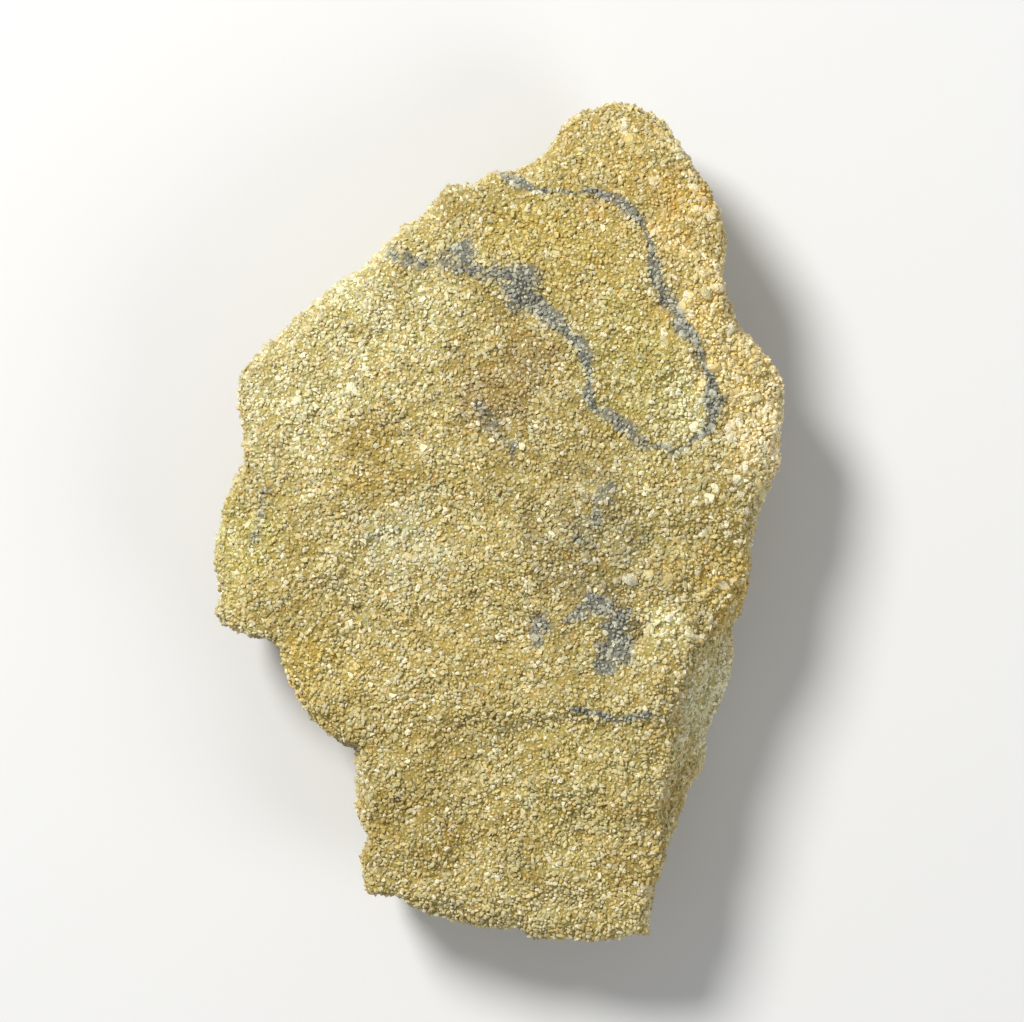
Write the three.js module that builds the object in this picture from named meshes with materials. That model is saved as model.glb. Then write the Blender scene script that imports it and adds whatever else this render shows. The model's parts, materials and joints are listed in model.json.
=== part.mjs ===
// Native selenium in sandstone: one broken slab of fine yellow sandstone, lying on its back with the
// face that carries the grey selenium bands upwards. The selenium only stains the sand, so the whole
// specimen is one solid. Millimetres, +Z up, +Y towards the narrow tip.
import * as THREE from "three";
import { ImprovedNoise } from "three/addons/math/ImprovedNoise.js";
import { mergeVertices } from "three/addons/utils/BufferGeometryUtils.js";

// The four sides of the slab seen from above, anticlockwise from the tip: the corners of each broken
// edge, up to where the next side starts, and the number of cells along it.
const [ACROSS, ALONG] = [30, 56];
const SIDES = [
  // the straight upper left, from the tip down to the left-hand corner
  { cells: ACROSS, corners: [
    [8.6, 25.6], [7.0, 26.0], [5.0, 25.3], [3.9, 24.3], [3.1, 23.0], [2.4, 22.2], [1.2, 21.8],
    [-0.4, 21.5], [-1.7, 20.8], [-3.3, 20.6], [-3.9, 19.8], [-4.5, 18.9], [-5.6, 17.9], [-6.5, 17.0],
    [-7.6, 16.1], [-8.9, 15.0], [-10.6, 13.9], [-12.3, 12.4], [-13.7, 11.2],
  ] },
  // the left, which steps in to the foot
  { cells: ALONG, corners: [
    [-16.4, 8.6], [-15.7, 6.4], [-15.8, 3.7], [-16.8, 1.6], [-17.6, -2.2], [-17.2, -4.5],
    [-17.5, -5.8], [-15.7, -7.3], [-13.6, -8.4], [-13.0, -9.8], [-11.8, -11.7], [-10.4, -13.7],
    [-8.9, -14.2], [-8.8, -15.3], [-8.8, -17.7], [-8.2, -19.8], [-8.8, -21.0],
  ] },
  // the foot
  { cells: ACROSS, corners: [
    [-8.1, -23.2], [-6.4, -23.3], [-3.9, -24.5], [-1.4, -25.4], [1.3, -25.1], [2.2, -26.0],
    [4.7, -25.8], [6.4, -26.1],
  ] },
  // the right, bulging in the middle, back up to the tip
  { cells: ALONG, corners: [
    [9.3, -25.6], [9.8, -23.0], [10.5, -21.0], [11.4, -18.6], [12.3, -16.5], [12.9, -15.6],
    [13.0, -13.0], [14.0, -11.0], [14.8, -9.4], [14.9, -6.2], [15.8, -3.8], [15.5, -1.3],
    [16.3, 0.4], [16.9, 2.1], [17.4, 2.8], [17.3, 4.6], [17.6, 5.6], [17.5, 8.3], [17.0, 9.9],
    [15.2, 11.3], [14.3, 13.1], [13.8, 14.4], [14.0, 16.3], [13.6, 19.0], [12.7, 21.3],
    [11.7, 23.0], [10.3, 24.5],
  ] },
];
const EDGE_ROWS = 8; // rows of cells down the broken edge

// The front broke along five nearly flat facets. Each passes through a point [x, y] at a height, and
// rises by [along x, along y] for each millimetre.
const FRONT_FACETS = [
  { at: [-3, 2], height: 10.6, rise: [0.03, 0.01] }, // the broad main face
  { at: [2, -12], height: 10.5, rise: [0.02, 0.13] }, // falls to the foot
  { at: [13, -6], height: 9.9, rise: [-0.3, 0.05] }, // falls along the lower right margin
  { at: [7, 17], height: 10.3, rise: [0.02, -0.16] }, // falls to the tip
  { at: [-12, 0], height: 10.1, rise: [0.16, -0.03] }, // falls to the left-hand corners
];

// The back parted along the bedding: nearly level in the middle and chipped away all round.
const BACK_FACETS = [
  { at: [0, 0], height: 0.55, rise: [0.004, 0.008] },
  { at: [-9, 0], height: 0.7, rise: [-0.2, 0.02] },
  { at: [10, 0], height: 0.7, rise: [0.24, 0.02] },
  { at: [6, 15], height: 0.7, rise: [0.02, 0.22] },
  { at: [1, -17], height: 0.65, rise: [0.01, -0.24] },
];
const FACET_BLEND = 0.7; // how softly two facets meet

// Broad high spots of the back, worn flat where the slab rests on them: [x, y, radius, height].
const RESTING_SPOTS = [[0.5, 1, 6, 1.1], [-8, 4, 5, 1], [8.5, 3, 5, 1], [1.5, -13.5, 5.5, 0.9]];

// How far the broken edge stands inside the outline at each level, from the front (1) to the back (0).
const EDGE_PROFILE = [
  [1, 0.5], [0.88, 0.2], [0.76, 0.12], [0.63, 0.15], [0.5, 0.25], [0.37, 0.35], [0.24, 0.5],
  [0.12, 0.7], [0, 1.1],
];
const EDGE_WANDER = { wavelength: 4.3, share: 0.8 }; // how unevenly the edge keeps to that profile

// Scars where flakes broke off the rim of the back. Each is a plane that leaves the edge along a line,
// from [x, y] to [x, y] at a height, and cuts in under the slab by its reach.
const SCARS = [
  { line: [[4.5, 25.5], [-4.8, 19.6]], height: 6, reach: 2.4 },
  { line: [[-4.2, 20.2], [-14, 12]], height: 4.2, reach: 1.4 },
  { line: [[-14.2, 11.8], [-17, 0.6]], height: 6.2, reach: 3 },
  { line: [[-17.2, 0.8], [-17, -7.2]], height: 4.4, reach: 2.2 },
  { line: [[-16, -7], [-9, -14.4]], height: 6, reach: 2.6 },
  { line: [[-9.4, -13.8], [-8.6, -23.4]], height: 4.6, reach: 1.8 },
  { line: [[-8.6, -23.2], [2.4, -26.2]], height: 5.2, reach: 2.6 },
  { line: [[2, -26.2], [9.6, -26.2]], height: 4.2, reach: 1.8 },
  { line: [[15.6, -4.4], [18, 5.4]], height: 5.6, reach: 2.6 },
  { line: [[17.9, 4.6], [14.2, 14]], height: 4.4, reach: 1.6 },
  { line: [[14.6, 13], [9.6, 25.6]], height: 6, reach: 2.8 },
];
const SCAR_END = 2.2; // length over which a scar sets in, and dies out again

// On the lower right the edge flares out under the front, so that a strip of it shows from above.
const FLARE = {
  from: [15.4, -4.5], to: [10.8, -20.5], inset: [2.2, 2, 1.6, 1.1, 0.6, 0.25, 0.1, 0.1, 0.5],
};
const FLARE_END = 0.25; // share of the flare's length over which it sets in, and dies out again

const MARGIN = { width: 1.1, drop: 0.45 }; // how the faces round over into the edge

// Ledges where a thin layer has come away: the surface on the left-hand side of each path is lower
// by drop, and comes back up over reach.
const LEDGES = [
  { path: [[2.5, -5.8], [0.8, -5.9], [-0.5, -4.9], [-1.8, -4.1], [-4.2, -5.2]], drop: 0.5, reach: 2.6 },
  { path: [[-10.2, -2.8], [-11.9, -3.8], [-13.2, -4.9]], drop: 0.45, reach: 2.4 },
  { path: [[11.4, -11.6], [6.6, -12.2], [4.3, -11.6], [1.3, -12.2], [-4.2, -11.8]], drop: 0.6, reach: 3.2 },
  { path: [[-3.2, 7.4], [-6.4, 5.7], [-9.6, 5.2]], drop: 0.35, reach: 2.4 },
];

// The same on the back, where the surface on the left-hand side is higher.
const BACK_LEDGES = [
  { path: [[-10, 12], [-6, 13.8], [-1, 11.6], [3, 13.4], [9, 12.2]], drop: 0.5, reach: 3.5 },
  { path: [[12.5, -5.5], [7, -7.4], [3, -6.6], [-3, -8.2], [-8, -6.4], [-13, -7]], drop: 0.4, reach: 3 },
  { path: [[4.2, 3], [5.6, -1.5], [4.6, -4.5]], drop: 0.35, reach: 2.5 },
];
const LEDGE_FACE = 0.9; // width of the step itself
const LEDGE_END = 1.5; // length over which a ledge dies out at its ends

// Pits where grains have dropped out: [x, y, radius, depth].
const PITS = [
  [8.3, -7.0, 1.1, 0.6], [0.4, -7.3, 1.2, 0.5], [-8.7, -5.3, 1.1, 0.5], [2.4, -5.9, 1.1, 0.4],
  [-12.2, 2.4, 1.5, 0.4], [5.8, 19.4, 1.2, 0.45], [4.7, -18.7, 1.2, 0.5], [10.2, 13.3, 1.1, 0.4],
  [-5.8, -13.0, 1.5, 0.45], [2.2, 13.6, 1.3, 0.4], [9.4, -15.2, 1.3, 0.5], [-2.0, -20.5, 1.4, 0.45],
];

// Lumps of the broken surface, from broad to fine: [wavelength, height].
const LUMPS = [[7.5, 0.55], [3.4, 0.4], [2.0, 0.3]];
const EDGE_LUMPS = 0.45; // share of the lumps that the edge has
const BACK_LUMPS = 0.5; // and that the back has, which parted more evenly than the front
const CHIPS = { wavelength: 5, height: 0.9, level: 0.2 }; // hollows between ridges, round the edge
const BEDDING = { thickness: 2.4, depth: 0.3, wobble: 1.2, wavelength: 7 }; // ribs round the edge

const RIM_STEPS = 2 * (ACROSS + ALONG);
const SEED = { wander: 5.7, lumps: 11.3, chips: 5.2, ribs: 3.1 }; // each picks its own pattern
const perlin = new ImprovedNoise();

// Smooth noise, from about -1 to 1, that swells and sinks once in a wavelength.
function noise({ x, y, z }, wavelength, seed) {
  return perlin.noise(x / wavelength + seed, y / wavelength + seed, z / wavelength + seed);
}

// One side as even steps, as many as its cells, with each of its corners kept.
function sideSteps({ cells, corners }, end) {
  const points = [...corners, end].map(([x, y]) => new THREE.Vector2(x, y));
  const lengths = corners.map((_, i) => points[i].distanceTo(points[i + 1]));
  const total = lengths.reduce((sum, length) => sum + length, 0);
  const steps = [];
  let travelled = 0;
  lengths.forEach((length, i) => {
    travelled += length;
    const first = steps.length;
    const last = Math.round((cells * travelled) / total);
    for (let k = first; k < last; k++) {
      steps.push(points[i].clone().lerp(points[i + 1], (k - first) / (last - first)));
    }
  });
  return steps;
}

const RIM = SIDES.flatMap((side, i) => sideSteps(side, SIDES[(i + 1) % SIDES.length].corners[0]));

function rimStep(k) {
  return RIM[THREE.MathUtils.euclideanModulo(k, RIM_STEPS)];
}

// The direction into the slab, square to the general run of the rim.
function inwards(k) {
  const run = 4; // steps to each side that show the general run
  const along = rimStep(k + run).clone().sub(rimStep(k - run)).normalize();
  return new THREE.Vector2(-along.y, along.x);
}

// 0 outside the flared stretch of the edge, and 1 over most of it.
function flareShare(point) {
  const from = new THREE.Vector2(...FLARE.from);
  const along = new THREE.Vector2(...FLARE.to).sub(from);
  const place = point.clone().sub(from).dot(along) / along.lengthSq();
  const nearEnd = Math.min(place, 1 - place);
  return point.x > 0 ? THREE.MathUtils.smoothstep(nearEnd, 0, FLARE_END) : 0;
}

// One row of the broken edge, as a closed line of RIM_STEPS points.
function edgeRow(row) {
  const [level, inset] = EDGE_PROFILE[row];
  return RIM.map((point, k) => {
    const place = { x: point.x, y: point.y, z: 0 };
    const wander = EDGE_WANDER.share * noise(place, EDGE_WANDER.wavelength, SEED.wander + level);
    const depth = THREE.MathUtils.lerp(inset * (1 + wander), FLARE.inset[row], flareShare(point));
    return point.clone().addScaledVector(inwards(k), depth);
  });
}

const ROWS = EDGE_PROFILE.map((_, row) => edgeRow(row));

// Which step of the rim a knot of a face's net lies on, counted from the corner at the tip, or -1.
function rimPlace(i, j) {
  if (j === ALONG) return ACROSS - i;
  if (i === 0) return ACROSS + ALONG - j;
  if (j === 0) return ACROSS + ALONG + i;
  return i === ACROSS ? 2 * ACROSS + ALONG + j : -1;
}

// A net pulled into a closed rim: its border follows the rim, and each knot inside settles midway
// between its neighbours, so the cells come out even.
function settledNet(rim) {
  const [sweeps, haste] = [300, 1.9]; // each sweep moves a knot by more than it lacks, to save time
  const knots = Array.from({ length: ACROSS + 1 }, (_, i) =>
    Array.from({ length: ALONG + 1 }, (_, j) => {
      const place = rimPlace(i, j);
      return place < 0 ? new THREE.Vector2() : rim[place % RIM_STEPS].clone();
    }),
  );
  const middle = new THREE.Vector2();
  for (let sweep = 0; sweep < sweeps; sweep++) {
    for (let i = 1; i < ACROSS; i++) {
      for (let j = 1; j < ALONG; j++) {
        middle.addVectors(knots[i - 1][j], knots[i + 1][j]).add(knots[i][j - 1]).add(knots[i][j + 1]);
        knots[i][j].lerp(middle.divideScalar(4), haste);
      }
    }
  }
  return knots;
}

const FRONT = { rim: ROWS[0], net: settledNet(ROWS[0]) };
const BACK = { rim: ROWS[EDGE_ROWS], net: settledNet(ROWS[EDGE_ROWS]) };

function softMin(a, b) {
  const share = Math.max(FACET_BLEND - Math.abs(a - b), 0) / FACET_BLEND;
  return Math.min(a, b) - (share * share * FACET_BLEND) / 4;
}

function heightOn(facet, { x, y }) {
  return facet.height + facet.rise[0] * (x - facet.at[0]) + facet.rise[1] * (y - facet.at[1]);
}

// A face's fall near its rim, as it rounds over into the edge.
function marginDrop(rim, point) {
  const distance = Math.min(...rim.map((step) => step.distanceTo(point)));
  const share = Math.max(1 - distance / MARGIN.width, 0);
  return MARGIN.drop * share * share;
}

// A dome of the given radius and height, level in its middle third.
function spot([x, y, radius, height], point) {
  const distance = Math.hypot(point.x - x, point.y - y);
  return height * (1 - THREE.MathUtils.smoothstep(distance, radius / 3, radius));
}

function frontHeight(point) {
  const height = FRONT_FACETS.map((facet) => heightOn(facet, point)).reduce(softMin);
  return height - marginDrop(FRONT.rim, point);
}

function backHeight(point) {
  const height = -BACK_FACETS.map((facet) => -heightOn(facet, point)).reduce(softMin);
  const worn = RESTING_SPOTS.reduce((sum, place) => sum + spot(place, point), 0);
  return height + marginDrop(BACK.rim, point) - worn;
}

// Where a point of the unit box goes on the slab, before the slab gets its lumps.
function slabPoint(boxPoint) {
  const i = Math.round(((1 + boxPoint.x) / 2) * ACROSS);
  const j = Math.round(((1 + boxPoint.y) / 2) * ALONG);
  const row = Math.round(((1 - boxPoint.z) / 2) * EDGE_ROWS);
  const [front, back] = [FRONT.net[i][j], BACK.net[i][j]];
  const level = EDGE_PROFILE[row][0];
  const place = [front, back][row / EDGE_ROWS] ?? ROWS[row][rimPlace(i, j) % RIM_STEPS];
  const top = level > 0 ? frontHeight(front) : 0;
  const bottom = level < 1 ? backHeight(back) : 0;
  return new THREE.Vector3(place.x, place.y, THREE.MathUtils.lerp(bottom, top, level));
}

// How far a point lies from a path, which side of it, and how far along from the path's nearer end.
function besidePath(path, { x, y }) {
  const point = new THREE.Vector2(x, y);
  const corners = path.map((corner) => new THREE.Vector2(...corner));
  let nearest = { distance: Infinity };
  let travelled = 0;
  for (let i = 0; i + 1 < corners.length; i++) {
    const along = corners[i + 1].clone().sub(corners[i]);
    const offset = point.clone().sub(corners[i]);
    const share = THREE.MathUtils.clamp(offset.dot(along) / along.lengthSq(), 0, 1);
    const distance = corners[i].clone().addScaledVector(along, share).distanceTo(point);
    const onLeft = along.cross(offset) > 0;
    const place = travelled + share * along.length();
    if (distance < nearest.distance) nearest = { distance, onLeft, place };
    travelled += along.length();
  }
  return { ...nearest, fromEnd: Math.min(nearest.place, travelled - nearest.place) };
}

function ledgeDrop(ledges, point) {
  return ledges.reduce((sum, { path, drop, reach }) => {
    const { distance, onLeft, fromEnd } = besidePath(path, point);
    const step = Math.min(distance / LEDGE_FACE, Math.max(1 - distance / reach, 0));
    return onLeft ? sum + drop * step * Math.min(fromEnd / LEDGE_END, 1) : sum;
  }, 0);
}

function pitDrop(point) {
  return PITS.reduce((sum, [x, y, radius, depth]) => {
    const share = Math.hypot(point.x - x, point.y - y) / radius;
    return sum + depth * Math.exp(-share * share);
  }, 0);
}

function lumps(point, normal) {
  const height = LUMPS.reduce((sum, [wavelength, swell], octave) => {
    return sum + swell * noise(point, wavelength, SEED.lumps * (octave + 1));
  }, 0);
  return height * THREE.MathUtils.lerp(EDGE_LUMPS, normal.z < 0 ? BACK_LUMPS : 1, Math.abs(normal.z));
}

// The edge broke in shallow hollows that meet in ridges.
function edgeChips(point, normal) {
  const hollow = Math.abs(noise(point, CHIPS.wavelength, SEED.chips));
  return CHIPS.height * (CHIPS.level - hollow) * (1 - Math.abs(normal.z));
}

// Harder layers of the sandstone stand out of the edge, and fade where the surface is level.
function beddingRibs(point, normal) {
  const wobble = BEDDING.wobble * noise({ ...point, z: 0 }, BEDDING.wavelength, SEED.ribs);
  const rib = Math.sin((2 * Math.PI * (point.z + wobble)) / BEDDING.thickness);
  return (BEDDING.depth / 2) * rib * (1 - Math.abs(normal.z));
}

// The plane of a scar, facing out of the slab.
function scarPlane({ line: [from, to], height, reach }) {
  const along = new THREE.Vector2(to[0] - from[0], to[1] - from[1]).normalize();
  const foot = new THREE.Vector3(from[0] - reach * along.y, from[1] + reach * along.x, 0);
  const [start, end] = [from, to].map(([x, y]) => new THREE.Vector3(x, y, height));
  return new THREE.Plane().setFromCoplanarPoints(foot, end, start);
}

// Takes a point of the plain slab back to the scars that it stands out from.
function scarred(point) {
  const onPlane = new THREE.Vector3();
  SCARS.forEach((scar) => {
    const plane = scarPlane(scar);
    const share = Math.min(besidePath(scar.line, point).fromEnd / SCAR_END, 1);
    if (plane.distanceToPoint(point) > 0) point.lerp(plane.projectPoint(point, onPlane), share);
  });
  return point;
}

// A box of cells drawn out to the plain slab, then given its scars, lumps, ribs, ledges and pits, with the
// lowest parts of the back worn off flat at z = 0.
function brokenSlab() {
  const box = new THREE.BoxGeometry(2, 2, 2, ACROSS, ALONG, EDGE_ROWS);
  box.deleteAttribute("normal");
  box.deleteAttribute("uv");
  const slab = mergeVertices(box);
  const position = slab.getAttribute("position");
  const point = new THREE.Vector3();
  for (let i = 0; i < position.count; i++) {
    const place = scarred(slabPoint(point.fromBufferAttribute(position, i)));
    position.setXYZ(i, place.x, place.y, place.z);
  }
  slab.computeVertexNormals();
  const normals = slab.getAttribute("normal");
  const normal = new THREE.Vector3();
  for (let i = 0; i < position.count; i++) {
    point.fromBufferAttribute(position, i);
    normal.fromBufferAttribute(normals, i);
    const fall = Math.max(normal.z, 0) * (ledgeDrop(LEDGES, point) + pitDrop(point));
    const rise = Math.max(-normal.z, 0) * ledgeDrop(BACK_LEDGES, point);
    const swell = lumps(point, normal) + edgeChips(point, normal) + beddingRibs(point, normal);
    point.addScaledVector(normal, swell);
    position.setXYZ(i, point.x, point.y, Math.max(point.z - fall + rise, 0));
  }
  return slab;
}

// Puts the middle of the slab over the origin. Its worn flats are on z = 0 already.
function centred(geometry) {
  geometry.computeBoundingBox();
  const middle = geometry.boundingBox.getCenter(new THREE.Vector3());
  return geometry.translate(-middle.x, -middle.y, 0);
}

const sandstone = new THREE.MeshStandardMaterial({ color: 0xc4b67c, roughness: 0.85, metalness: 0 });

const slab = new THREE.Mesh(centred(brokenSlab()), sandstone);
slab.name = "selenium_sandstone";
slab.geometry.computeVertexNormals();

const specimen = new THREE.Group();
specimen.add(slab);
export default specimen;
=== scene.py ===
# %% [markdown]
# # Native selenium in sandstone
#
# The real object is a flat broken slab of fine yellow sandstone, 35 by 52 mm. Its front carries thin
# blue-grey bands: native selenium, which grew between the sand grains. The imported model holds the
# slab's true outline, lumps and ledges as one solid. Here that solid becomes a rough bed of cement,
# and tens of thousands of single sand grains are set in it, so that the light catches real facets
# and falls into real gaps.
#
# The first cell loads the frame, which is the imported solid lying where it rests, in metres. It also
# keeps the solid's box and prints its size.

# %% The frame
import json
import math
import random

import bmesh
import bpy
import numpy as np
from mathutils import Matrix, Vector, noise

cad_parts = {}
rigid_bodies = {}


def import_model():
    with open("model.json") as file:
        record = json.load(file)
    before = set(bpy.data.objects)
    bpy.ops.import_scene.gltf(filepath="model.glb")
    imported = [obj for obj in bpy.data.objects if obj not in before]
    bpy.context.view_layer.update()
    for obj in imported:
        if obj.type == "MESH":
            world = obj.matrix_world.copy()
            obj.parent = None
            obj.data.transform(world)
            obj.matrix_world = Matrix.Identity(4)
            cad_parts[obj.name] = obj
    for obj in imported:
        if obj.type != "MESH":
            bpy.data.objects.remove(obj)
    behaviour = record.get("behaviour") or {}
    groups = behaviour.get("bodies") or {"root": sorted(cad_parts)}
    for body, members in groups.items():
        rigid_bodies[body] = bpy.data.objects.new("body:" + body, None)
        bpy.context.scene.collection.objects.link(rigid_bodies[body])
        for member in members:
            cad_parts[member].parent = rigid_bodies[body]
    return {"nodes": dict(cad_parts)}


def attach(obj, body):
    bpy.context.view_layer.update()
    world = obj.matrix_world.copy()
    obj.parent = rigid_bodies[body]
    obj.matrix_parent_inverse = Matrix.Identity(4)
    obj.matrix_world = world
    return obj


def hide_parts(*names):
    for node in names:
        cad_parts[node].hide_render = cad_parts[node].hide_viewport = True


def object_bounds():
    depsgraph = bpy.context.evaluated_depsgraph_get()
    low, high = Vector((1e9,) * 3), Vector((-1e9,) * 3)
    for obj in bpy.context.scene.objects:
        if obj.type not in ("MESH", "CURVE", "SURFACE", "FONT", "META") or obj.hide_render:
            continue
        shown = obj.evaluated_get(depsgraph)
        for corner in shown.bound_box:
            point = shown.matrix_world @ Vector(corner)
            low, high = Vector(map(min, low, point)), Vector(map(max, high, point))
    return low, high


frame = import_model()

MM = 0.001
SLAB = "selenium_sandstone"
cad_low, cad_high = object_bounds()
print("slab in mm:", [round(s / MM, 1) for s in cad_high - cad_low])

# %% [markdown]
# ## The camera
#
# The slab lies on its back, and the camera looks straight down on its face, as the photograph does.
# A long lens far away keeps the outline free of perspective. Its distance follows from how many
# millimetres of the slab's plane the picture should span.

# %% The camera
VIEW_WIDTH = 62.06  # mm of the slab's plane across the picture
VIEW_MIDDLE = (0.82, 0.61)  # x and y in mm that the camera stands above
LENS = 150
SENSOR = 36


def camera_above():
    data = bpy.data.cameras.new("camera_above")
    data.lens = LENS
    data.sensor_width = SENSOR
    camera = bpy.data.objects.new("camera_above", data)
    height = cad_high.z + VIEW_WIDTH * MM * LENS / SENSOR
    camera.location = (VIEW_MIDDLE[0] * MM, VIEW_MIDDLE[1] * MM, height)
    bpy.context.scene.collection.objects.link(camera)
    return camera


bpy.context.scene.camera = camera_above()
print("camera at mm:", [round(c / MM) for c in bpy.context.scene.camera.location])

# %% [markdown]
# ## Shader sums in plain Python
#
# A material is a graph of small nodes. Written by hand, each sum takes three lines, so one class
# wraps a socket and turns Python's own operators into Math nodes. Numbers go through Math, and
# vectors through Vector Math, because a Math node would turn a colour grey. The same two classes
# also build the Geometry Nodes that sow the grains, because both kinds of tree are made alike.

# %% Node helpers
class Value:
    """A node's output that can stand in a Python sum."""

    def __init__(self, nodes, socket):
        self.nodes = nodes
        self.socket = socket

    def sum_with(self, operation, first, second):
        sides = (first, second)
        is_vector = any(isinstance(s, Value) and s.socket.type == "VECTOR" for s in sides)
        kind = "ShaderNodeVectorMath" if is_vector else "ShaderNodeMath"
        if is_vector:
            sides = [(s,) * 3 if isinstance(s, (int, float)) else s for s in sides]
        return self.nodes.add(kind, {"operation": operation}, dict(enumerate(sides)))

    def __add__(self, other):
        return self.sum_with("ADD", self, other)

    def __radd__(self, other):
        return self.sum_with("ADD", other, self)

    def __sub__(self, other):
        return self.sum_with("SUBTRACT", self, other)

    def __rsub__(self, other):
        return self.sum_with("SUBTRACT", other, self)

    def __mul__(self, other):
        return self.sum_with("MULTIPLY", self, other)

    def __rmul__(self, other):
        return self.sum_with("MULTIPLY", other, self)

    def __truediv__(self, other):
        return self.sum_with("DIVIDE", self, other)

    def __rtruediv__(self, other):
        return self.sum_with("DIVIDE", other, self)


class Nodes:
    """Adds nodes to one tree."""

    def __init__(self, tree):
        self.tree = tree

    def add(self, kind, settings=None, sockets=None, output=0):
        made = self.tree.nodes.new(kind)
        for name, value in (settings or {}).items():
            setattr(made, name, value)
        for name, value in (sockets or {}).items():
            self.plug(made.inputs[name], value)
        return Value(self, made.outputs[output])

    def plug(self, socket, value):
        if isinstance(value, Value):
            self.tree.links.new(value.socket, socket)
        else:
            socket.default_value = value

    def ramp(self, value, low, high, to_low=0.0, to_high=1.0):
        """Goes smoothly from to_low to to_high as the value goes from low to high."""
        return self.add(
            "ShaderNodeMapRange",
            {"interpolation_type": "SMOOTHSTEP"},
            {"Value": value, "From Min": low, "From Max": high, "To Min": to_low, "To Max": to_high},
        )

    def mix(self, share, first, second, blend="MIX"):
        """The first colour where share is 0, and the second where it is 1."""
        settings = {"data_type": "RGBA", "blend_type": blend}
        return self.add("ShaderNodeMix", settings, {0: share, 6: first, 7: second}, 2)

    def here(self):
        """The point that is shaded, in mm. Output 3 of the node holds Object coordinates."""
        return self.add("ShaderNodeTexCoord", None, None, 3) * (1 / MM)

    def distance(self, first, second):
        settings = {"operation": "DISTANCE"}
        return self.add("ShaderNodeVectorMath", settings, {0: first, 1: second}, 1)

    def patches(self, at, size, detail=2.0):
        """Cloudy noise, from about 0.3 to 0.7, whose patches are about so many millimetres across."""
        return self.add("ShaderNodeTexNoise", None, {"Vector": at, "Scale": 1 / size, "Detail": detail})

    def own(self, name):
        """A value that the mesh itself carries. Output 2 gives it as a plain number."""
        return self.add("ShaderNodeAttribute", {"attribute_name": name}, None, 2)


# %% [markdown]
# ## Screen colours
#
# The colours in this script are picked as they look on screen, with parts from 0 to 255. A shader
# reckons with the light itself, in which the middle grey of a screen is only about a fifth of white.
# One small function turns the first into the second.

# %% Screen colours
def linear(red, green, blue):
    """A colour picked on screen as the shader's own linear colour."""
    parts = [c / 255 for c in (red, green, blue)]
    return [c / 12.92 if c <= 0.04045 else ((c + 0.055) / 1.055) ** 2.4 for c in parts] + [1.0]


print("middle grey in the shader:", round(linear(128, 128, 128)[0], 3))

# %% [markdown]
# ## Paths on the face
#
# Cracks and mineral seams both run as narrow lines over the slab. Each is a path of points given
# in millimetres, with half its width and its strength there. A real crack never runs straight
# between two such points, so every place is swayed a little by noise before its closeness is measured.
# Blender's vector noise starts at a new spot on every run unless it is given a seed, so it gets one.

# %% Paths
SWAY = 0.35  # mm
SWAY_SIZE = 1.1  # mm across one wave of the sway
SWAY_SEED = 23
noise.seed_set(SWAY_SEED)


def read(data, name, width, kind=np.float32):
    """One property of every item, as the rows of an array."""
    values = np.zeros(len(data) * width, kind)
    data.foreach_get(name, values)
    return values.reshape(-1, width)


def note(mesh, name, domain, values):
    """Stores a value with every corner or face, for the materials to read."""
    mesh.attributes.new(name, "FLOAT", domain).data.foreach_set("value", np.array(values, np.float32))


def closeness(place, path):
    """Strength on the path's middle, half of it at the path's edge, nothing at twice the half width."""
    best = np.zeros(len(place))
    for start, end in zip(path, path[1:]):
        start, end = np.array(start), np.array(end)
        along = end[:2] - start[:2]
        share = np.clip((place[:, :2] - start[:2]) @ along / (along @ along), 0, 1)
        nearest = start + share[:, None] * (end - start)
        gap = np.linalg.norm(place[:, :2] - nearest[:, :2], axis=1)
        best = np.maximum(best, nearest[:, 3] * np.clip(1 - gap / (2 * nearest[:, 2]), 0, 1))
    return best


def on_paths(mesh, paths, fade):
    """How close each corner is to any of the paths, fading in between two heights."""
    place = read(mesh.vertices, "co", 3) / MM
    height = np.clip((place[:, 2] - fade[0]) / (fade[1] - fade[0]), 0, 1)
    place += [SWAY * noise.noise_vector(Vector(spot) / SWAY_SIZE) for spot in place]
    return height * np.max([closeness(place, path) for path in paths.values()], axis=0)


trial = [(-1.0, 0.0, 0.2, 1.0), (1.0, 0.0, 0.2, 1.0)]
print("closeness at 0, 0.2 and 0.4 mm from a path:", closeness(np.array([[0, 0], [0, 0.2], [0, 0.4]]), trial))
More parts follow.
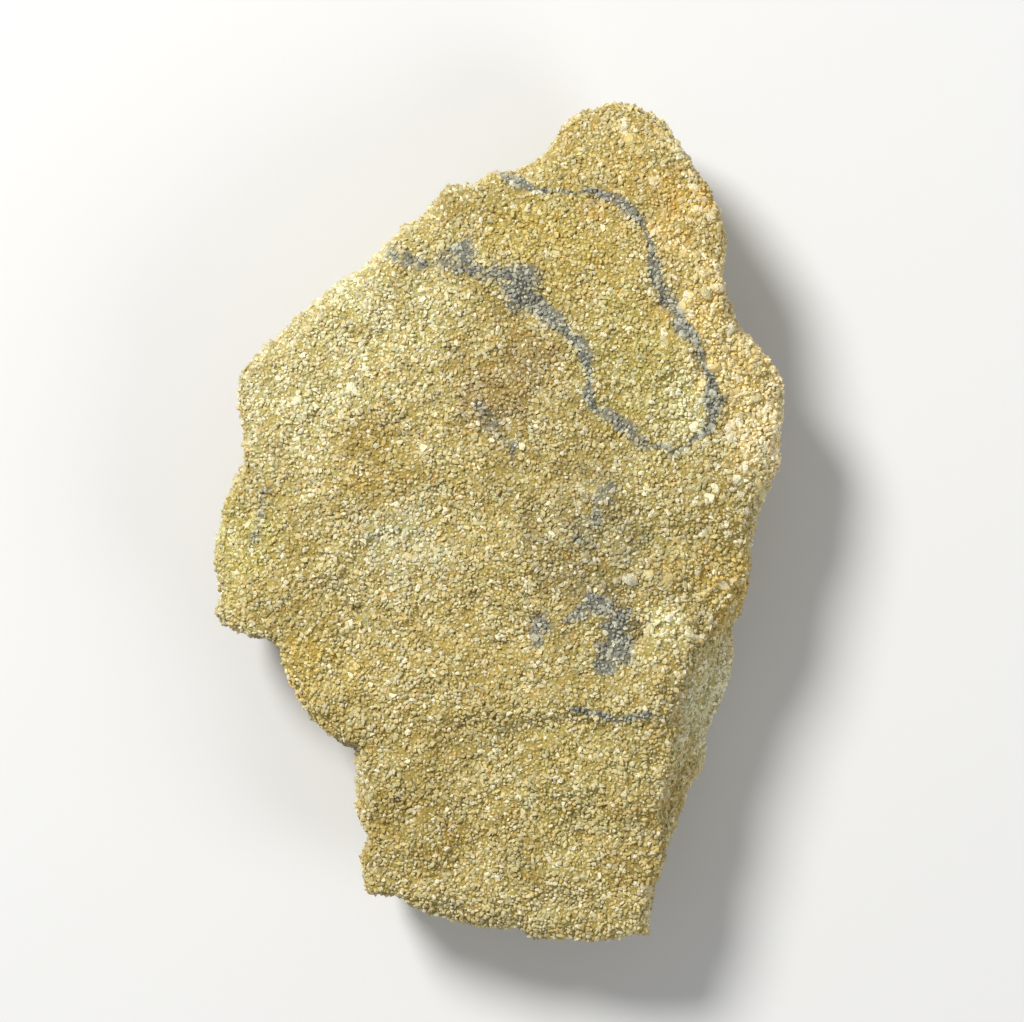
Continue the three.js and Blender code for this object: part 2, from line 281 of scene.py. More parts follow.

# %% [markdown]
# ## Cracks, pits and ledges
#
# Thin ledges of the bedding end in short cracks on the face, and grains have fallen out of a few
# pits. Cut into the mesh one by one, they would leave hard edges that the sand doesn't have. It is
# enough to write down where each runs: the bed dips along it, and painted shade darkens the grains
# and the cement there.

# %% Cracks
CRACKS = {
    # points with x, y, half width and strength
    "beside the lower patch": [(8.4, -6.2, 0.2, 0.6), (8.7, -6.9, 0.28, 1.0), (8.2, -7.7, 0.18, 0.5)],
    "ledge of the middle": [
        (3.2, -5.7, 0.12, 0.4), (2.5, -5.9, 0.2, 1.0), (0.9, -6.1, 0.14, 0.5), (-0.5, -5.0, 0.16, 0.6),
        (-1.8, -4.3, 0.16, 0.5), (-4.2, -5.2, 0.14, 0.3),
    ],
    "below that ledge": [(1.2, -7.0, 0.14, 0.5), (0.4, -7.3, 0.22, 0.9), (-0.6, -7.4, 0.14, 0.4)],
    "inside the loop": [(10.5, 14.0, 0.12, 0.5), (10.1, 13.2, 0.22, 0.8), (10.4, 12.4, 0.12, 0.4)],
    "ochre pit": [(5.5, 19.6, 0.16, 0.6), (6.0, 19.4, 0.25, 0.8)],
    "left pit": [(-9.2, -5.0, 0.14, 0.5), (-8.6, -5.4, 0.25, 0.9), (-7.9, -5.3, 0.14, 0.4)],
    "left-hand ledge": [(-10.2, -2.9, 0.15, 0.4), (-11.9, -3.9, 0.2, 0.6), (-13.2, -4.9, 0.15, 0.4)],
    "ledge above the foot": [
        (11.2, -12.0, 0.2, 0.4), (8.8, -12.5, 0.2, 0.6), (6.6, -12.4, 0.15, 0.5), (3.4, -12.1, 0.2, 0.3),
    ],
    "right-hand hollow": [(12.4, -5.4, 0.3, 0.5), (12.1, -7.6, 0.35, 0.7), (11.6, -9.8, 0.25, 0.5)],
    "foot": [(4.2, -18.4, 0.16, 0.4), (4.9, -19.0, 0.22, 0.7), (5.9, -18.9, 0.16, 0.4)],
    "upper left": [(-3.2, 7.6, 0.15, 0.3), (-6.4, 5.9, 0.2, 0.5), (-9.6, 5.4, 0.15, 0.3)],
}
CRACK_HEIGHTS = (6, 8)  # mm, between which the cracks fade in towards the front
CRACK_DEPTH = 0.35  # mm, where a crack's strength is 1
print(len(CRACKS), "cracks, pits and ledges")

# %% [markdown]
# ## The bed of cement
#
# Between its sand grains the real slab is fine cement, of which only the gaps show. It could be
# modelled anew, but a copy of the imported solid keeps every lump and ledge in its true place. The
# solid's facets are cut in three and smoothed, and noise of two sizes roughens them. The bed is drawn
# in a little, so that the grains sown on it come out near the true surface. Its map is unwrapped
# first, on the plain solid, because the later roughness would tear it.

# %% The bed
MERGE_DISTANCE = 0.002  # mm, below which two corners of the solid are one
BED_DEPTH = 0.12  # mm by which the bed is drawn in
FLOOR_GAP = 0.15  # mm that it keeps from the floor
BED_ROUGHNESS = [(1.7, 0.2), (0.75, 0.15)]  # patch size and height, in mm


def unwrap(piece):
    bpy.context.view_layer.objects.active = piece
    piece.select_set(True)
    bpy.ops.object.mode_set(mode="EDIT")
    bpy.ops.mesh.select_all(action="SELECT")
    bpy.ops.uv.smart_project(angle_limit=math.radians(70), island_margin=0.01)
    bpy.ops.object.mode_set(mode="OBJECT")
    piece.select_set(False)


def new_piece(name, mesh):
    piece = bpy.data.objects.new(name, mesh)
    bpy.context.scene.collection.objects.link(piece)
    return piece


def copy_of_slab(name):
    """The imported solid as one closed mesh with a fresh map."""
    shape = bmesh.new()
    shape.from_mesh(frame["nodes"][SLAB].data)
    bmesh.ops.remove_doubles(shape, verts=shape.verts, dist=MERGE_DISTANCE * MM)
    mesh = bpy.data.meshes.new(name)
    shape.to_mesh(mesh)
    shape.free()
    while mesh.uv_layers:
        mesh.uv_layers.remove(mesh.uv_layers[0])
    mesh.uv_layers.new(name="OFBake")
    piece = new_piece(name, mesh)
    unwrap(piece)
    return piece


def soften(mesh):
    """Cuts every edge in three and rounds the facets off."""
    shape = bmesh.new()
    shape.from_mesh(mesh)
    bmesh.ops.subdivide_edges(shape, edges=shape.edges, cuts=2, use_grid_fill=True)
    for _ in range(2):
        bmesh.ops.smooth_vert(
            shape, verts=shape.verts, factor=0.5, use_axis_x=True, use_axis_y=True, use_axis_z=True
        )
    shape.normal_update()
    shape.to_mesh(mesh)
    shape.free()


def roughen(mesh):
    """Draws the surface in and moves it by noise, deeper along the cracks."""
    place, outwards = read(mesh.vertices, "co", 3), read(mesh.vertices, "normal", 3)
    swell = [sum(h * noise.noise(Vector(spot) / (MM * size)) for size, h in BED_ROUGHNESS) for spot in place]
    swell -= BED_DEPTH + CRACK_DEPTH * on_paths(mesh, CRACKS, CRACK_HEIGHTS)
    place += outwards * swell[:, None] * MM
    place[:, 2] = np.maximum(place[:, 2], FLOOR_GAP * MM)
    mesh.vertices.foreach_set("co", place.ravel())
    mesh.polygons.foreach_set("use_smooth", [True] * len(mesh.polygons))
    mesh.update()


bed = copy_of_slab("cement_bed")
soften(bed.data)
roughen(bed.data)
print("cement bed:", len(bed.data.polygons), "faces")

# %% [markdown]
# ## Regions of the surface
#
# The grains are too many for one mesh, so they are split by where they lie: three bands of the front,
# the two sides, and the back. Each face of the bed notes its region. Each corner notes how coarse the
# sand is there, because the margin along the tip and the right-hand side has big pale grains.

# %% Regions
REGIONS = ["front_top", "front_middle", "front_foot", "left_side", "right_side", "back"]
UP_FACING = 0.5  # upright share of the normal past which a face belongs to the front or the back
BANDS = (7.0, -8.0)  # y in mm where the three bands of the front meet
MARGIN_FROM = 9.0  # x in mm where the coarse margin sets in
TIP_FROM = 20  # y in mm above which the tip is coarse too
COARSE_WITHIN = 3  # mm over which both set in
MARGIN_END = -9  # y in mm where the margin ends towards the foot
END_FADE = 5  # mm
LEAST_COARSE = 0.02


def region_of(face):
    if face.normal.z > UP_FACING:
        return sum(face.center.y / MM < limit for limit in BANDS)
    if face.normal.z < -UP_FACING:
        return REGIONS.index("back")
    return REGIONS.index("left_side") + (face.center.x > 0)


def coarseness(place):
    """Nearly 0 on the fine main face, 1 on the coarse margin along the tip and the right-hand side."""
    x, y = (place / MM).xy
    set_in = (x - MARGIN_FROM) / COARSE_WITHIN + max(0, (y - TIP_FROM) / COARSE_WITHIN)
    return max(LEAST_COARSE, min(1.0, set_in)) * max(0.0, min(1.0, (y - MARGIN_END) / END_FADE))


regions = [region_of(face) for face in bed.data.polygons]
note(bed.data, "region", "FACE", regions)
note(bed.data, "coarse", "POINT", [coarseness(vert.co) for vert in bed.data.vertices])
print("faces:", {name: regions.count(number) for number, name in enumerate(REGIONS)})

# %% [markdown]
# ## One sand grain
#
# A grain of broken quartz is a lump with flat facets. An icosphere with only 20 faces is enough at
# this size, once its corners are pushed about and a few planes have chipped it flat. Eight shapes are
# made, and every grain on the slab is a turned and resized copy of one. Each face gets its own spot on
# a round map of the grain, with the top in the middle and the underside round the rim, so that a baked
# picture can colour every facet.

# %% Grain shapes
SHAPES = 8
UNEVENNESS = 0.28  # share of the radius by which a corner is pushed in or out
CHIPS = 7
CHIP_DEPTH = (0.42, 0.8)  # how far from the middle a chip's plane lies, as a share of the radius
STRETCH = [(1.1, 1.35), (0.85, 1.1), (0.8, 1.05)]
MAP_RADIUS = 0.46  # in a map that is 1 wide
UNDERSIDE = 0.99  # reach past which a corner is taken for the grain's lowest point


def map_spot(place, outwards):
    """Where a corner lies on the round map. The lowest point has no direction, so its face gives one."""
    reach = math.acos(max(-1, min(1, place.z))) / math.pi
    around = outwards if reach > UNDERSIDE else place
    turn = math.atan2(around.y, around.x)
    return (0.5 + MAP_RADIUS * reach * math.cos(turn), 0.5 + MAP_RADIUS * reach * math.sin(turn))


def grain_shape(number, fineness):
    pick = random.Random(number)
    shape = bmesh.new()
    bmesh.ops.create_icosphere(shape, subdivisions=fineness, radius=1)
    spot = shape.loops.layers.uv.new("OFBake")
    for face in shape.faces:
        outwards = face.calc_center_median()
        for loop in face.loops:
            loop[spot].uv = map_spot(loop.vert.co.normalized(), outwards)
    for vert in shape.verts:
        vert.co *= 1 + pick.uniform(-UNEVENNESS, UNEVENNESS) / fineness
    for _ in range(CHIPS):
        outwards = Vector([pick.gauss(0, 1) for _ in range(3)]).normalized()
        cut = pick.uniform(*CHIP_DEPTH)
        for vert in shape.verts:
            vert.co -= outwards * max(0, vert.co.dot(outwards) - cut)
    bmesh.ops.scale(shape, verts=shape.verts, vec=[pick.uniform(*ends) for ends in STRETCH])
    mesh = bpy.data.meshes.new(f"grain_shape_{number}")
    shape.to_mesh(mesh)
    shape.free()
    return mesh


def grain_shapes(name, fineness):
    shapes = bpy.data.collections.new(name)
    for number in range(SHAPES):
        shapes.objects.link(bpy.data.objects.new(f"{name}_{number}", grain_shape(number, fineness)))
    return shapes


small_grains = grain_shapes("small_grain", 1)
big_grains = grain_shapes("big_grain", 2)

# %% [markdown]
# ## How the grains are sown
#
# Geometry Nodes scatter the grains: Poisson disk points keep their distance from each other, as
# packed sand does. Each point picks a shape, sinks it a little into the bed, and turns and sizes it at
# random. Every random value has a salt of its own, so that no two of them go together. Each grain
# keeps two random numbers of its own, a tone and a kind, for its colour.

# %% Sowing nodes
SIZE_SPREAD = (0.55, 1.45)


def sowing_nodes(region, shapes, spacing, radius, flatness, tilt, depth, only_coarse):
    """Scatters grains over one region of the bed. Lengths are in mm."""
    tree = bpy.data.node_groups.new("sow_grains", "GeometryNodeTree")
    tree.interface.new_socket("Geometry", in_out="INPUT", socket_type="NodeSocketGeometry")
    tree.interface.new_socket("Geometry", in_out="OUTPUT", socket_type="NodeSocketGeometry")
    nodes = Nodes(tree)
    seed = REGIONS.index(region) + 10 * only_coarse

    def own(name):
        return nodes.add("GeometryNodeInputNamedAttribute", {"data_type": "FLOAT"}, {"Name": name})

    def chance(low, high, salt, kind="FLOAT"):
        ends = {"FLOAT": (2, 3, 1), "FLOAT_VECTOR": (0, 1, 0), "INT": (4, 5, 2)}[kind]
        sockets = {ends[0]: low, ends[1]: high, "Seed": 100 * salt + seed}
        return nodes.add("FunctionNodeRandomValue", {"data_type": kind}, sockets, ends[2])

    def compare(operation, first, second):
        settings = {"data_type": "FLOAT", "operation": operation}
        return nodes.add("FunctionNodeCompare", settings, {0: first, 1: second})

    def keep(geometry, name, value, domain="POINT"):
        settings = {"data_type": "FLOAT", "domain": domain}
        sockets = {"Geometry": geometry, "Name": name, "Value": value}
        return nodes.add("GeometryNodeStoreNamedAttribute", settings, sockets)

    scatter = {
        "Mesh": nodes.add("NodeGroupInput"),
        "Selection": compare("EQUAL", own("region"), REGIONS.index(region)),
        "Distance Min": spacing * MM,
        "Density Max": 4 / (spacing * MM) ** 2,
        "Seed": seed,
    }
    points = nodes.add("GeometryNodeDistributePointsOnFaces", {"distribute_method": "POISSON"}, scatter)
    flat = Value(nodes, points.socket.node.outputs["Rotation"])
    offset = nodes.add("ShaderNodeCombineXYZ", None, {"Z": chance(-depth[1] * MM, -depth[0] * MM, 1)})
    sunk = nodes.add("FunctionNodeRotateVector", None, {0: offset, 1: flat})
    points = nodes.add("GeometryNodeSetPosition", None, {"Geometry": points, "Offset": sunk})
    points = keep(points, "tone", chance(0.0, 1.0, 2))
    points = keep(points, "kind", chance(0.0, 1.0, 3))
    turn = chance((-tilt, -tilt, 0.0), (tilt, tilt, math.tau), 4, "FLOAT_VECTOR")
    size = radius * MM * chance(*SIZE_SPREAD, 5)
    all_shapes = {"Collection": shapes, "Separate Children": True}
    instances = {
        "Points": points,
        "Selection": compare("GREATER_THAN", own("coarse"), chance(0.0, 1.0, 7)) if only_coarse else True,
        "Instance": nodes.add("GeometryNodeCollectionInfo", None, all_shapes),
        "Pick Instance": True,
        "Instance Index": chance(0, SHAPES - 1, 6, "INT"),
        "Rotation": nodes.add("FunctionNodeRotateRotation", {"rotation_space": "LOCAL"}, {0: flat, 1: turn}),
        "Scale": nodes.add("ShaderNodeCombineXYZ", None, {"X": size, "Y": size, "Z": size * flatness}),
    }
    grains = nodes.add("GeometryNodeInstanceOnPoints", None, instances)
    grains = keep(grains, "tile", nodes.add("GeometryNodeInputIndex"), "INSTANCE")
    grains = nodes.add("GeometryNodeRealizeInstances", None, {"Geometry": grains})
    nodes.plug(tree.nodes.new("NodeGroupOutput").inputs[0], grains)
    return tree


# %% [markdown]
# ## The grain pieces
#
# The fine sand of the face lies closest, and the grains are wider than their spacing, so they run
# into each other as in firm sandstone. The sides and the back have slightly larger grains, which
# spares faces where nobody looks closely. The big clear grains of the margin are flatter and lie
# deeper. The nodes' instances are realized, because only real mesh is kept in the model, and every
# grain's little map moves to a tile of its own in the piece's map.

# %% Sowing
def tile_the_map(mesh):
    """Gives each grain a tile of its own in the map, and says how many grains there are."""
    tile = read(mesh.attributes["tile"].data, "value", 1).astype(int).ravel()
    tile = tile[read(mesh.loops, "vertex_index", 1, np.int32).ravel()]
    across = math.ceil(math.sqrt(tile.max() + 1))
    spots = mesh.uv_layers["OFBake"].uv
    tiled = (read(spots, "vector", 2) + np.stack([tile % across, tile // across], 1)) / across
    spots.foreach_set("vector", tiled.ravel().astype(np.float32))
    return tile.max() + 1


def sow(
    name, region, shapes=small_grains, spacing=0.19, radius=0.17, flatness=1.0, tilt=1.3,
    depth=(-0.05, 0.08), only_coarse=False,
):
    """One piece of realized grains. Left to themselves, the values are those of the face's fine sand."""
    sower = bed.modifiers.new("sow", "NODES")
    sower.node_group = sowing_nodes(region, shapes, spacing, radius, flatness, tilt, depth, only_coarse)
    mesh = bpy.data.meshes.new_from_object(bed.evaluated_get(bpy.context.evaluated_depsgraph_get()))
    bed.modifiers.remove(sower)
    mesh.name = name
    place = read(mesh.vertices, "co", 3)
    place[:, 2] = np.maximum(place[:, 2], 0)
    mesh.vertices.foreach_set("co", place.ravel())
    print(name, tile_the_map(mesh), "grains", len(mesh.polygons), "faces")
    for spent in ("id", "tile", "region"):
        if spent in mesh.attributes:
            mesh.attributes.remove(mesh.attributes[spent])
    return new_piece(name, mesh)


SIDE_SAND = dict(spacing=0.21, radius=0.185, depth=(0, 0.1))
BACK_SAND = dict(spacing=0.29, radius=0.25, depth=(0, 0.12))
BIG_SAND = dict(
    shapes=big_grains, spacing=0.65, radius=0.36, flatness=0.65, tilt=0.4, depth=(0.06, 0.16),
    only_coarse=True,
)
grains = [
    sow("top_sand_grains", "front_top"),
    sow("middle_sand_grains", "front_middle"),
    sow("foot_sand_grains", "front_foot"),
    sow("left_side_grains", "left_side", **SIDE_SAND),
    sow("right_side_grains", "right_side", **SIDE_SAND),
    sow("back_sand_grains", "back", **BACK_SAND),
    sow("top_big_grains", "front_top", **BIG_SAND),
    sow("middle_big_grains", "front_middle", **BIG_SAND),
]
for shapes in (small_grains, big_grains):
    for shape in list(shapes.objects):
        bpy.data.objects.remove(shape)
    bpy.data.collections.remove(shapes)

# %% [markdown]
# ## Where the selenium lies
#
# The selenium came in as thin seams, and the broken face cuts them: a loop of thin bands in the upper
# half, and a few patches below. Every corner of the mesh stores how close it is to a seam. The material
# breaks that smooth value up with noise, so the seam gets the ragged edge of a mineral between grains.
# The cracks are stored in the same way, for the painted shade along them.

# %% Selenium seams
SEAMS = {
    # points with x, y, half width and strength
    "outer side of the loop": [
        (-0.6, 21.7, 0.25, 0.8), (0.6, 20.9, 0.35, 0.9), (1.8, 20.4, 0.28, 0.9), (3.7, 20.1, 0.22, 0.9),
        (5.6, 20.1, 0.24, 0.9), (6.8, 19.7, 0.42, 1.0), (7.8, 19.1, 0.42, 0.9), (8.7, 18.3, 0.32, 0.8),
        (9.1, 17.3, 0.24, 0.9), (9.4, 15.6, 0.34, 1.0), (9.8, 14.2, 0.30, 1.0), (10.4, 13.2, 0.48, 1.0),
        (11.1, 12.0, 0.34, 0.9), (12.0, 10.9, 0.36, 0.9), (12.5, 9.6, 0.34, 0.8), (12.9, 8.6, 0.34, 0.9),
        (13.1, 7.4, 0.50, 1.4), (13.0, 6.5, 0.38, 1.2), (12.5, 5.4, 0.34, 0.9), (11.4, 4.5, 0.28, 0.6),
    ],
    "inner side of the loop": [
        (11.4, 4.5, 0.28, 0.6), (10.1, 4.3, 0.30, 0.8), (8.9, 4.8, 0.30, 0.8), (7.9, 5.8, 0.36, 0.85),
        (6.7, 6.4, 0.45, 1.0), (5.9, 6.8, 0.26, 0.7), (5.4, 7.6, 0.38, 1.0), (5.4, 8.9, 0.26, 0.7),
        (5.5, 10.0, 0.45, 1.0), (4.8, 10.9, 0.45, 1.0), (3.5, 12.1, 0.42, 1.0), (2.6, 13.2, 0.55, 1.1),
        (1.2, 13.8, 0.95, 1.2), (1.6, 14.9, 0.75, 1.1), (0.0, 15.2, 0.50, 0.85), (-1.8, 15.2, 0.60, 0.75),
        (-3.2, 15.7, 0.60, 0.7), (-5.0, 15.7, 0.65, 0.65), (-6.6, 16.5, 0.45, 0.7),
    ],
    "spur": [(-1.8, 15.6, 0.45, 0.8), (-2.1, 16.3, 0.75, 1.1)],
    "arm of the lower patch": [(4.4, -5.8, 0.45, 0.85), (5.8, -4.9, 0.65, 0.95), (6.8, -5.1, 0.5, 0.9)],
    "lower patch": [(7.3, -6.0, 0.65, 1.0), (7.2, -7.6, 0.95, 1.2), (6.3, -8.8, 0.6, 1.1)],
    "small patch": [(2.7, -6.2, 0.6, 0.9), (2.3, -7.2, 0.45, 0.8)],
    "lowest seam": [
        (4.3, -11.3, 0.18, 0.8), (5.4, -11.7, 0.2, 1.2), (7.9, -12.0, 0.2, 1.1), (9.9, -11.7, 0.25, 0.6),
    ],
    "upper haze": [(6.6, 2.1, 0.8, 0.6), (5.0, -1.0, 0.9, 0.5)],
    "faint spots": [(0.8, 4.2, 0.6, 0.6), (-1.4, 7.3, 0.5, 0.6)],
    "left spot": [(-14.2, 1.9, 0.5, 0.5), (-14.8, -1.5, 0.6, 0.55)],
}
SEAM_HEIGHTS = (3.5, 7.5)  # mm, between which the seams fade in towards the front

for piece in [bed, *grains]:
    close = on_paths(piece.data, SEAMS, SEAM_HEIGHTS)
    note(piece.data, "selenium", "POINT", close)
    note(piece.data, "crack", "POINT", on_paths(piece.data, CRACKS, CRACK_HEIGHTS))
    print(piece.name, (close > 0.5).sum(), "corners in a seam")

# %% [markdown]
# ## The colours of the sandstone
#
# Iron stains the sand in soft zones: cream, olive, ochre and orange. Each zone is a named round area
# with a colour. Noise shifts its edge, so no circle shows. The stains lie in the front, and the rest
# of the stone has the plain sandy colour with its own cloudy patches. The selenium is only a share
# from 0 to 1 here, because the cement and the sand take it up in greys of their own.

# %% Colour zones
PLAIN_SAND = ((182, 167, 112), (204, 190, 138))  # screen colours of its darker and lighter patches
PLAIN_PATCH = 5.0  # mm across one of them
ZONES = {
    # place and radius in mm, screen colour, share
    "cream shoulder": (-8, 12.5, 6, (226, 220, 178), 0.9),
    "pale left": (-12, 7, 5, (224, 218, 178), 0.85),
    "olive in the loop": (4, 17, 5, (200, 181, 106), 0.9),
    "olive below it": (8, 10, 4, (194, 184, 118), 0.9),
    "pale green end of the loop": (11.4, 6.7, 2.4, (228, 226, 178), 0.9),
    "tip": (7, 23.5, 4, (204, 184, 120), 0.9),
    "orange by the tip": (11.5, 19.5, 3, (216, 182, 100), 0.8),
    "right margin": (12.5, 14, 3.5, (224, 202, 140), 0.9),
    "pink margin": (16.2, 5.5, 3.2, (250, 232, 186), 0.95),
    "margin below": (14.9, 9.8, 3, (242, 220, 156), 0.95),
    "brown mauve": (1, 9, 3.8, (170, 150, 106), 0.9),
    "ochre": (-7.5, 3.7, 2.8, (182, 158, 82), 0.8),
    "whitish grey": (-5.7, -2, 3.4, (212, 210, 182), 0.85),
    "greenish left edge": (-16, -1.5, 3, (205, 196, 132), 0.9),
    "middle": (-2.9, -7.2, 4.5, (200, 184, 128), 0.8),
    "grey haze": (5.5, -2, 4, (154, 143, 106), 0.9),
    "right of the haze": (12.2, 0.5, 3, (190, 176, 118), 0.8),
    "right edge": (14.3, -4.5, 3, (204, 178, 96), 0.9),
    "pale patch": (10.7, -6, 1.6, (232, 226, 184), 0.9),
    "foot": (4.5, -17, 5, (196, 182, 122), 0.8),
    "right of the foot": (9, -20.5, 3, (176, 156, 96), 0.8),
    "left of the foot": (-6, -18.7, 3.8, (172, 152, 88), 0.9),
    "lower left margin": (-12, -9.6, 3.5, (204, 182, 104), 0.9),
    "ochre spot": (5.8, 18.8, 0.9, (196, 158, 72), 0.8),
}
ZONE_EDGE = (1.4, 0.3)  # shares of the radius between which a zone fades in
STAIN_DEPTH = (3.0, 8.0)  # heights in mm between which the stains fade in towards the front
DRIFT_PATCH = 2.4  # mm across the noise that shifts a zone's edge
DRIFT = 2.6  # radii by which it would shift the edge if the noise went from 0 to 1
PALE_AND_LIT_SIDE = (14.6, -11.5, 4.2)  # place and radius of the clear, greenish white stretch of the side: partly pale stone, partly painted light
PALE_AND_LIT_SIDE_COLOUR = (222, 220, 190)
PALE_AND_LIT_SIDE_HEIGHTS = (9.2, 8.2)  # mm, between which it fades in below the front
CLOUDS = [
    # patch size in mm, shift of the pattern, noise from which and to which it sets in, colour, share
    (1.6, (31, 17, 5), 0.48, 0.68, (186, 165, 96), 0.4),
    (2.1, (-12, 8, 40), 0.5, 0.66, (212, 206, 166), 0.4),
    (0.8, (7, -23, 11), 0.5, 0.7, (230, 220, 174), 0.35),
    (0.55, (19, 3, -27), 0.54, 0.7, (216, 166, 92), 0.35),
]
RAGGED_PATCH = 0.55  # mm across the noise that tears a seam's edge
RAGGED = 1.3  # how far it moves the closeness to a seam


def stone_colour(nodes, at):
    """The stone's colour at each point, without selenium. The pale stretch of the lower right side is partly
    painted light.
    """
    height = nodes.add("ShaderNodeSeparateXYZ", None, {0: at}, 2)
    flat = at * nodes.add("ShaderNodeCombineXYZ", None, {0: 1.0, 1: 1.0, 2: 0.0})
    depth = nodes.ramp(height, *STAIN_DEPTH)
    drift = (nodes.patches(at, DRIFT_PATCH, 4.0) - 0.5) * DRIFT
    plain = nodes.ramp(nodes.patches(at, PLAIN_PATCH, 3.0), 0.38, 0.62)
    colour = nodes.mix(plain, *[linear(*tint) for tint in PLAIN_SAND])
    for x, y, radius, tint, share in ZONES.values():
        inside = nodes.ramp(nodes.distance(flat, (x, y, 0)) / radius + drift, *ZONE_EDGE)
        colour = nodes.mix(inside * depth * share, colour, linear(*tint))
    for size, shift, low, high, tint, share in CLOUDS:
        cloud = nodes.patches(at + shift, size, 4.0)
        colour = nodes.mix(nodes.ramp(cloud, low, high) * share, colour, linear(*tint))
    # partly pale stone, partly painted light: the lower right side, which faces away from the key lamp, is
    # mixed paler
    x, y, radius = PALE_AND_LIT_SIDE
    pale = nodes.ramp(nodes.distance(flat, (x, y, 0)) / radius + drift * 0.5, 1.1, 0.6)
    pale = pale * nodes.ramp(height, *PALE_AND_LIT_SIDE_HEIGHTS)
    return nodes.mix(pale * 0.7, colour, linear(*PALE_AND_LIT_SIDE_COLOUR))


def selenium_share(nodes, at):
    """How much of each point is selenium, with a ragged edge that never strays far from a seam."""
    close = nodes.own("selenium")
    ragged = (nodes.patches(at, RAGGED_PATCH, 4.0) - 0.5) * RAGGED
    return nodes.ramp(close + ragged, 0.25, 0.75) * nodes.ramp(close, 0.05, 0.3)


def new_material(name):
    material = bpy.data.materials.new(name)
    material.use_nodes = True
    return material, Nodes(material.node_tree), material.node_tree.nodes["Principled BSDF"]


print(len(ZONES), "stain zones and", len(CLOUDS), "kinds of cloud")

# %% [markdown]
# ## The finish of the cement
#
# The cement is clay and dust between the grains. It shows only in the gaps, so its colour is partly
# its own and partly painted shade: the stone's colour multiplied darker and browner, with patches of
# darker painted shade, and grey where the selenium has soaked in. It is matt, and its crumbs are too
# fine to be mesh, so a Bump node tilts the light over them instead.

# %% Cement
DUST_AND_GAP_SHADE = linear(216, 206, 152)
PATCHY_GAP_SHADE = linear(128, 112, 56)
SELENIUM_IN_CEMENT = linear(108, 108, 98)
CRACK_SHADE_BROWN = linear(78, 58, 24)
CRUMB_HEIGHT = 0.28  # mm


def cement_dust_and_gap_shade():
    material, nodes, shader = new_material("cement_dust_and_gap_shade")
    at = nodes.here()
    colour = stone_colour(nodes, at)
    selenium = selenium_share(nodes, at)
    # partly the cement's own colour, partly painted shade: the bed, seen only in the gaps, is multiplied
    # darker and browner
    shade = nodes.mix(1.0, colour, DUST_AND_GAP_SHADE, "MULTIPLY")
    # patches of darker brown painted shade in the gaps
    gap_shade_patches = nodes.patches(at, 0.15, 3.0)
    shade = nodes.mix(nodes.ramp(gap_shade_patches, 0.45, 0.65) * 0.5, shade, PATCHY_GAP_SHADE)
    shade = nodes.mix(selenium * 0.9, shade, SELENIUM_IN_CEMENT)
    # painted shade: the cement along the cracks, pits and ledges is darkened to brown
    shade = nodes.mix(nodes.ramp(nodes.own("crack"), 0.2, 0.9) * 0.8, shade, CRACK_SHADE_BROWN)
    nodes.plug(shader.inputs["Base Color"], shade)
    crumbs = {"Height": nodes.patches(at, 0.3, 4.0), "Strength": 1.0, "Distance": CRUMB_HEIGHT * MM}
    nodes.plug(shader.inputs["Normal"], nodes.add("ShaderNodeBump", None, crumbs))
    shader.inputs["Roughness"].default_value = 0.9
    shader.inputs["IOR"].default_value = 1.5
    return material


bed.data.materials.append(cement_dust_and_gap_shade())
print("cement:", len(bed.data.materials[0].node_tree.nodes), "nodes")

# %% [markdown]
# ## The finish of the sand grains
#
# Each quartz grain has its own number for its tone, and one for its kind: a golden film of iron, a
# greenish one, none at all, or clear and pale. A seam of selenium coats nearly every grain in it in a
# light or dark grey, but leaves a few bright ones. Quartz shines where it is freshly broken, so the
# roughness goes with the tone, and clear grains are the glossiest. The margin's big grains are mostly
# clear ones, so they get the same finish with a lower limit.

# %% Sand grains
GOLDEN_FILM = linear(196, 170, 90)
GREENISH_FILM = linear(190, 190, 142)
CLEAR_QUARTZ = linear(238, 232, 204)
SELENIUM_GREYS = (linear(124, 126, 119), linear(172, 173, 156))
CRACK_SHADE_ON_GRAINS = linear(104, 80, 38)
QUARTZ_IOR = 1.54
PITTING = 0.1  # mm


def sand_grains(name, clear_from):
    """Sand whose grains of a kind above clear_from are clear and pale."""
    material, nodes, shader = new_material(name)
    at = nodes.here()
    colour = stone_colour(nodes, at)
    selenium = selenium_share(nodes, at)
    tone = nodes.own("tone")
    kind = nodes.own("kind")
    clear = nodes.ramp(kind, clear_from, clear_from + 0.02)
    golden = nodes.ramp(kind, 0.22, 0.20)
    greenish = nodes.ramp(kind, 0.38, 0.36) - golden
    colour = nodes.mix(clear * 0.5, colour, CLEAR_QUARTZ)
    colour = nodes.mix(golden * 0.4, colour, GOLDEN_FILM)
    colour = nodes.mix(greenish * 0.35, colour, GREENISH_FILM)
    bright = nodes.ramp(tone, 0.0, 1.0, 0.86, 1.12)
    bright = nodes.add("ShaderNodeCombineColor", None, {0: bright, 1: bright, 2: bright})
    colour = nodes.mix(1.0, colour, bright, "MULTIPLY")
    grey = nodes.mix(nodes.ramp(tone, 0.1, 0.9), *SELENIUM_GREYS)
    colour = nodes.mix(selenium * nodes.ramp(kind, 0.97, 0.75, 0.3, 0.92), colour, grey)
    # painted shade: the grains along the cracks, pits and ledges are darkened to brown
    colour = nodes.mix(nodes.ramp(nodes.own("crack"), 0.2, 1.0) * 0.65, colour, CRACK_SHADE_ON_GRAINS)
    nodes.plug(shader.inputs["Base Color"], colour)
    nodes.plug(shader.inputs["Roughness"], nodes.ramp(tone, 0.0, 1.0, 0.3, 0.75) - clear * 0.18)
    pits = {"Height": nodes.patches(at, 0.14, 3.0), "Strength": 1.0, "Distance": PITTING * MM}
    nodes.plug(shader.inputs["Normal"], nodes.add("ShaderNodeBump", None, pits))
    shader.inputs["IOR"].default_value = QUARTZ_IOR
    return material


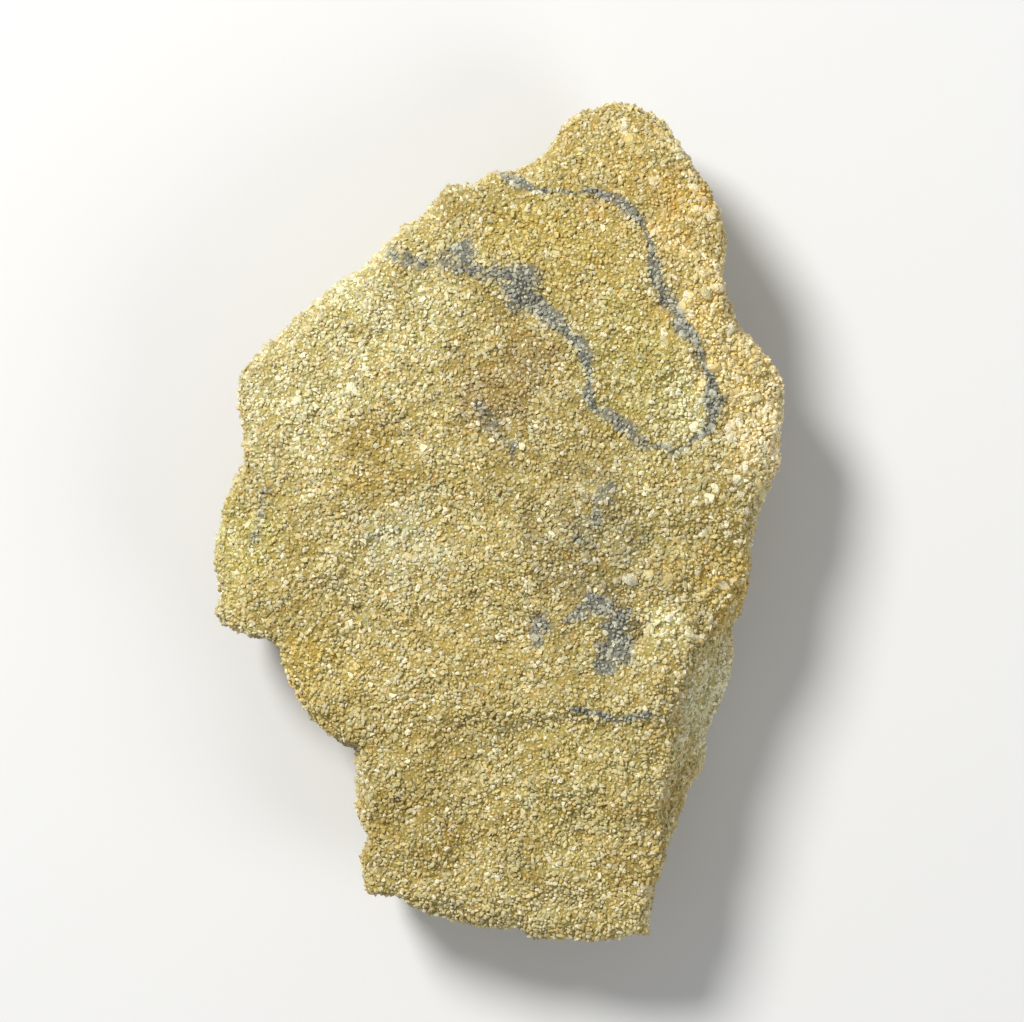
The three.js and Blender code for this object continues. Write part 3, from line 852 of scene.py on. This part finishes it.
sand = sand_grains("sand_grains", 0.84)
clear_quartz = sand_grains("clear_quartz_grains", 0.4)
for piece in grains:
    piece.data.materials.clear()
    piece.data.materials.append(clear_quartz if "big" in piece.name else sand)
    print(piece.name, "is", piece.data.materials[0].name)

# %% [markdown]
# ## Floor and light
#
# A plain pale floor carries the slab. One soft lamp stands up and to the left, as in the photograph,
# a weaker one opposite opens the shadows, and an even pale surround fills them.

# %% Floor and light
FLOOR_COLOUR = linear(214, 213, 210)
FLOOR_HALF = 1.5  # metres from its middle to its edge
LAMPS = {
    # direction of the lamp from the slab, distance and width in metres, power in watts
    "key": ((-0.55, 0.6, 0.85), 0.5, 0.16, 3.2),
    "fill": ((0.8, -0.45, 0.6), 0.5, 0.3, 0.8),
}
SURROUND = linear(235, 238, 242)
SURROUND_STRENGTH = 0.35


def pale_floor():
    shape = bmesh.new()
    bmesh.ops.create_grid(shape, x_segments=1, y_segments=1, size=FLOOR_HALF)
    mesh = bpy.data.meshes.new("floor")
    shape.to_mesh(mesh)
    shape.free()
    material, _, shader = new_material("pale_floor")
    shader.inputs["Base Color"].default_value = FLOOR_COLOUR
    shader.inputs["Roughness"].default_value = 0.8
    mesh.materials.append(material)
    return new_piece("floor", mesh)


def lamp(name, towards, distance, width, power):
    data = bpy.data.lights.new(name, "AREA")
    data.shape = "DISK"
    data.size = width
    data.energy = power
    light = bpy.data.objects.new(name, data)
    direction = Vector(towards).normalized()
    light.location = direction * distance
    light.rotation_euler = direction.to_track_quat("Z", "Y").to_euler()
    bpy.context.scene.collection.objects.link(light)


def surround():
    world = bpy.data.worlds.new("studio")
    world.use_nodes = True
    background = world.node_tree.nodes["Background"]
    background.inputs["Color"].default_value = SURROUND
    background.inputs["Strength"].default_value = SURROUND_STRENGTH
    return world


floor = pale_floor()
for name, values in LAMPS.items():
    lamp(name, *values)
bpy.context.scene.world = surround()
bpy.context.scene.view_settings.view_transform = "Standard"
print("lamps:", list(LAMPS))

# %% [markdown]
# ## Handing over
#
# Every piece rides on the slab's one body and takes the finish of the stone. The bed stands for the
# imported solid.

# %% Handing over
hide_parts(SLAB)
for piece in [bed, *grains]:
    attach(piece, "root")
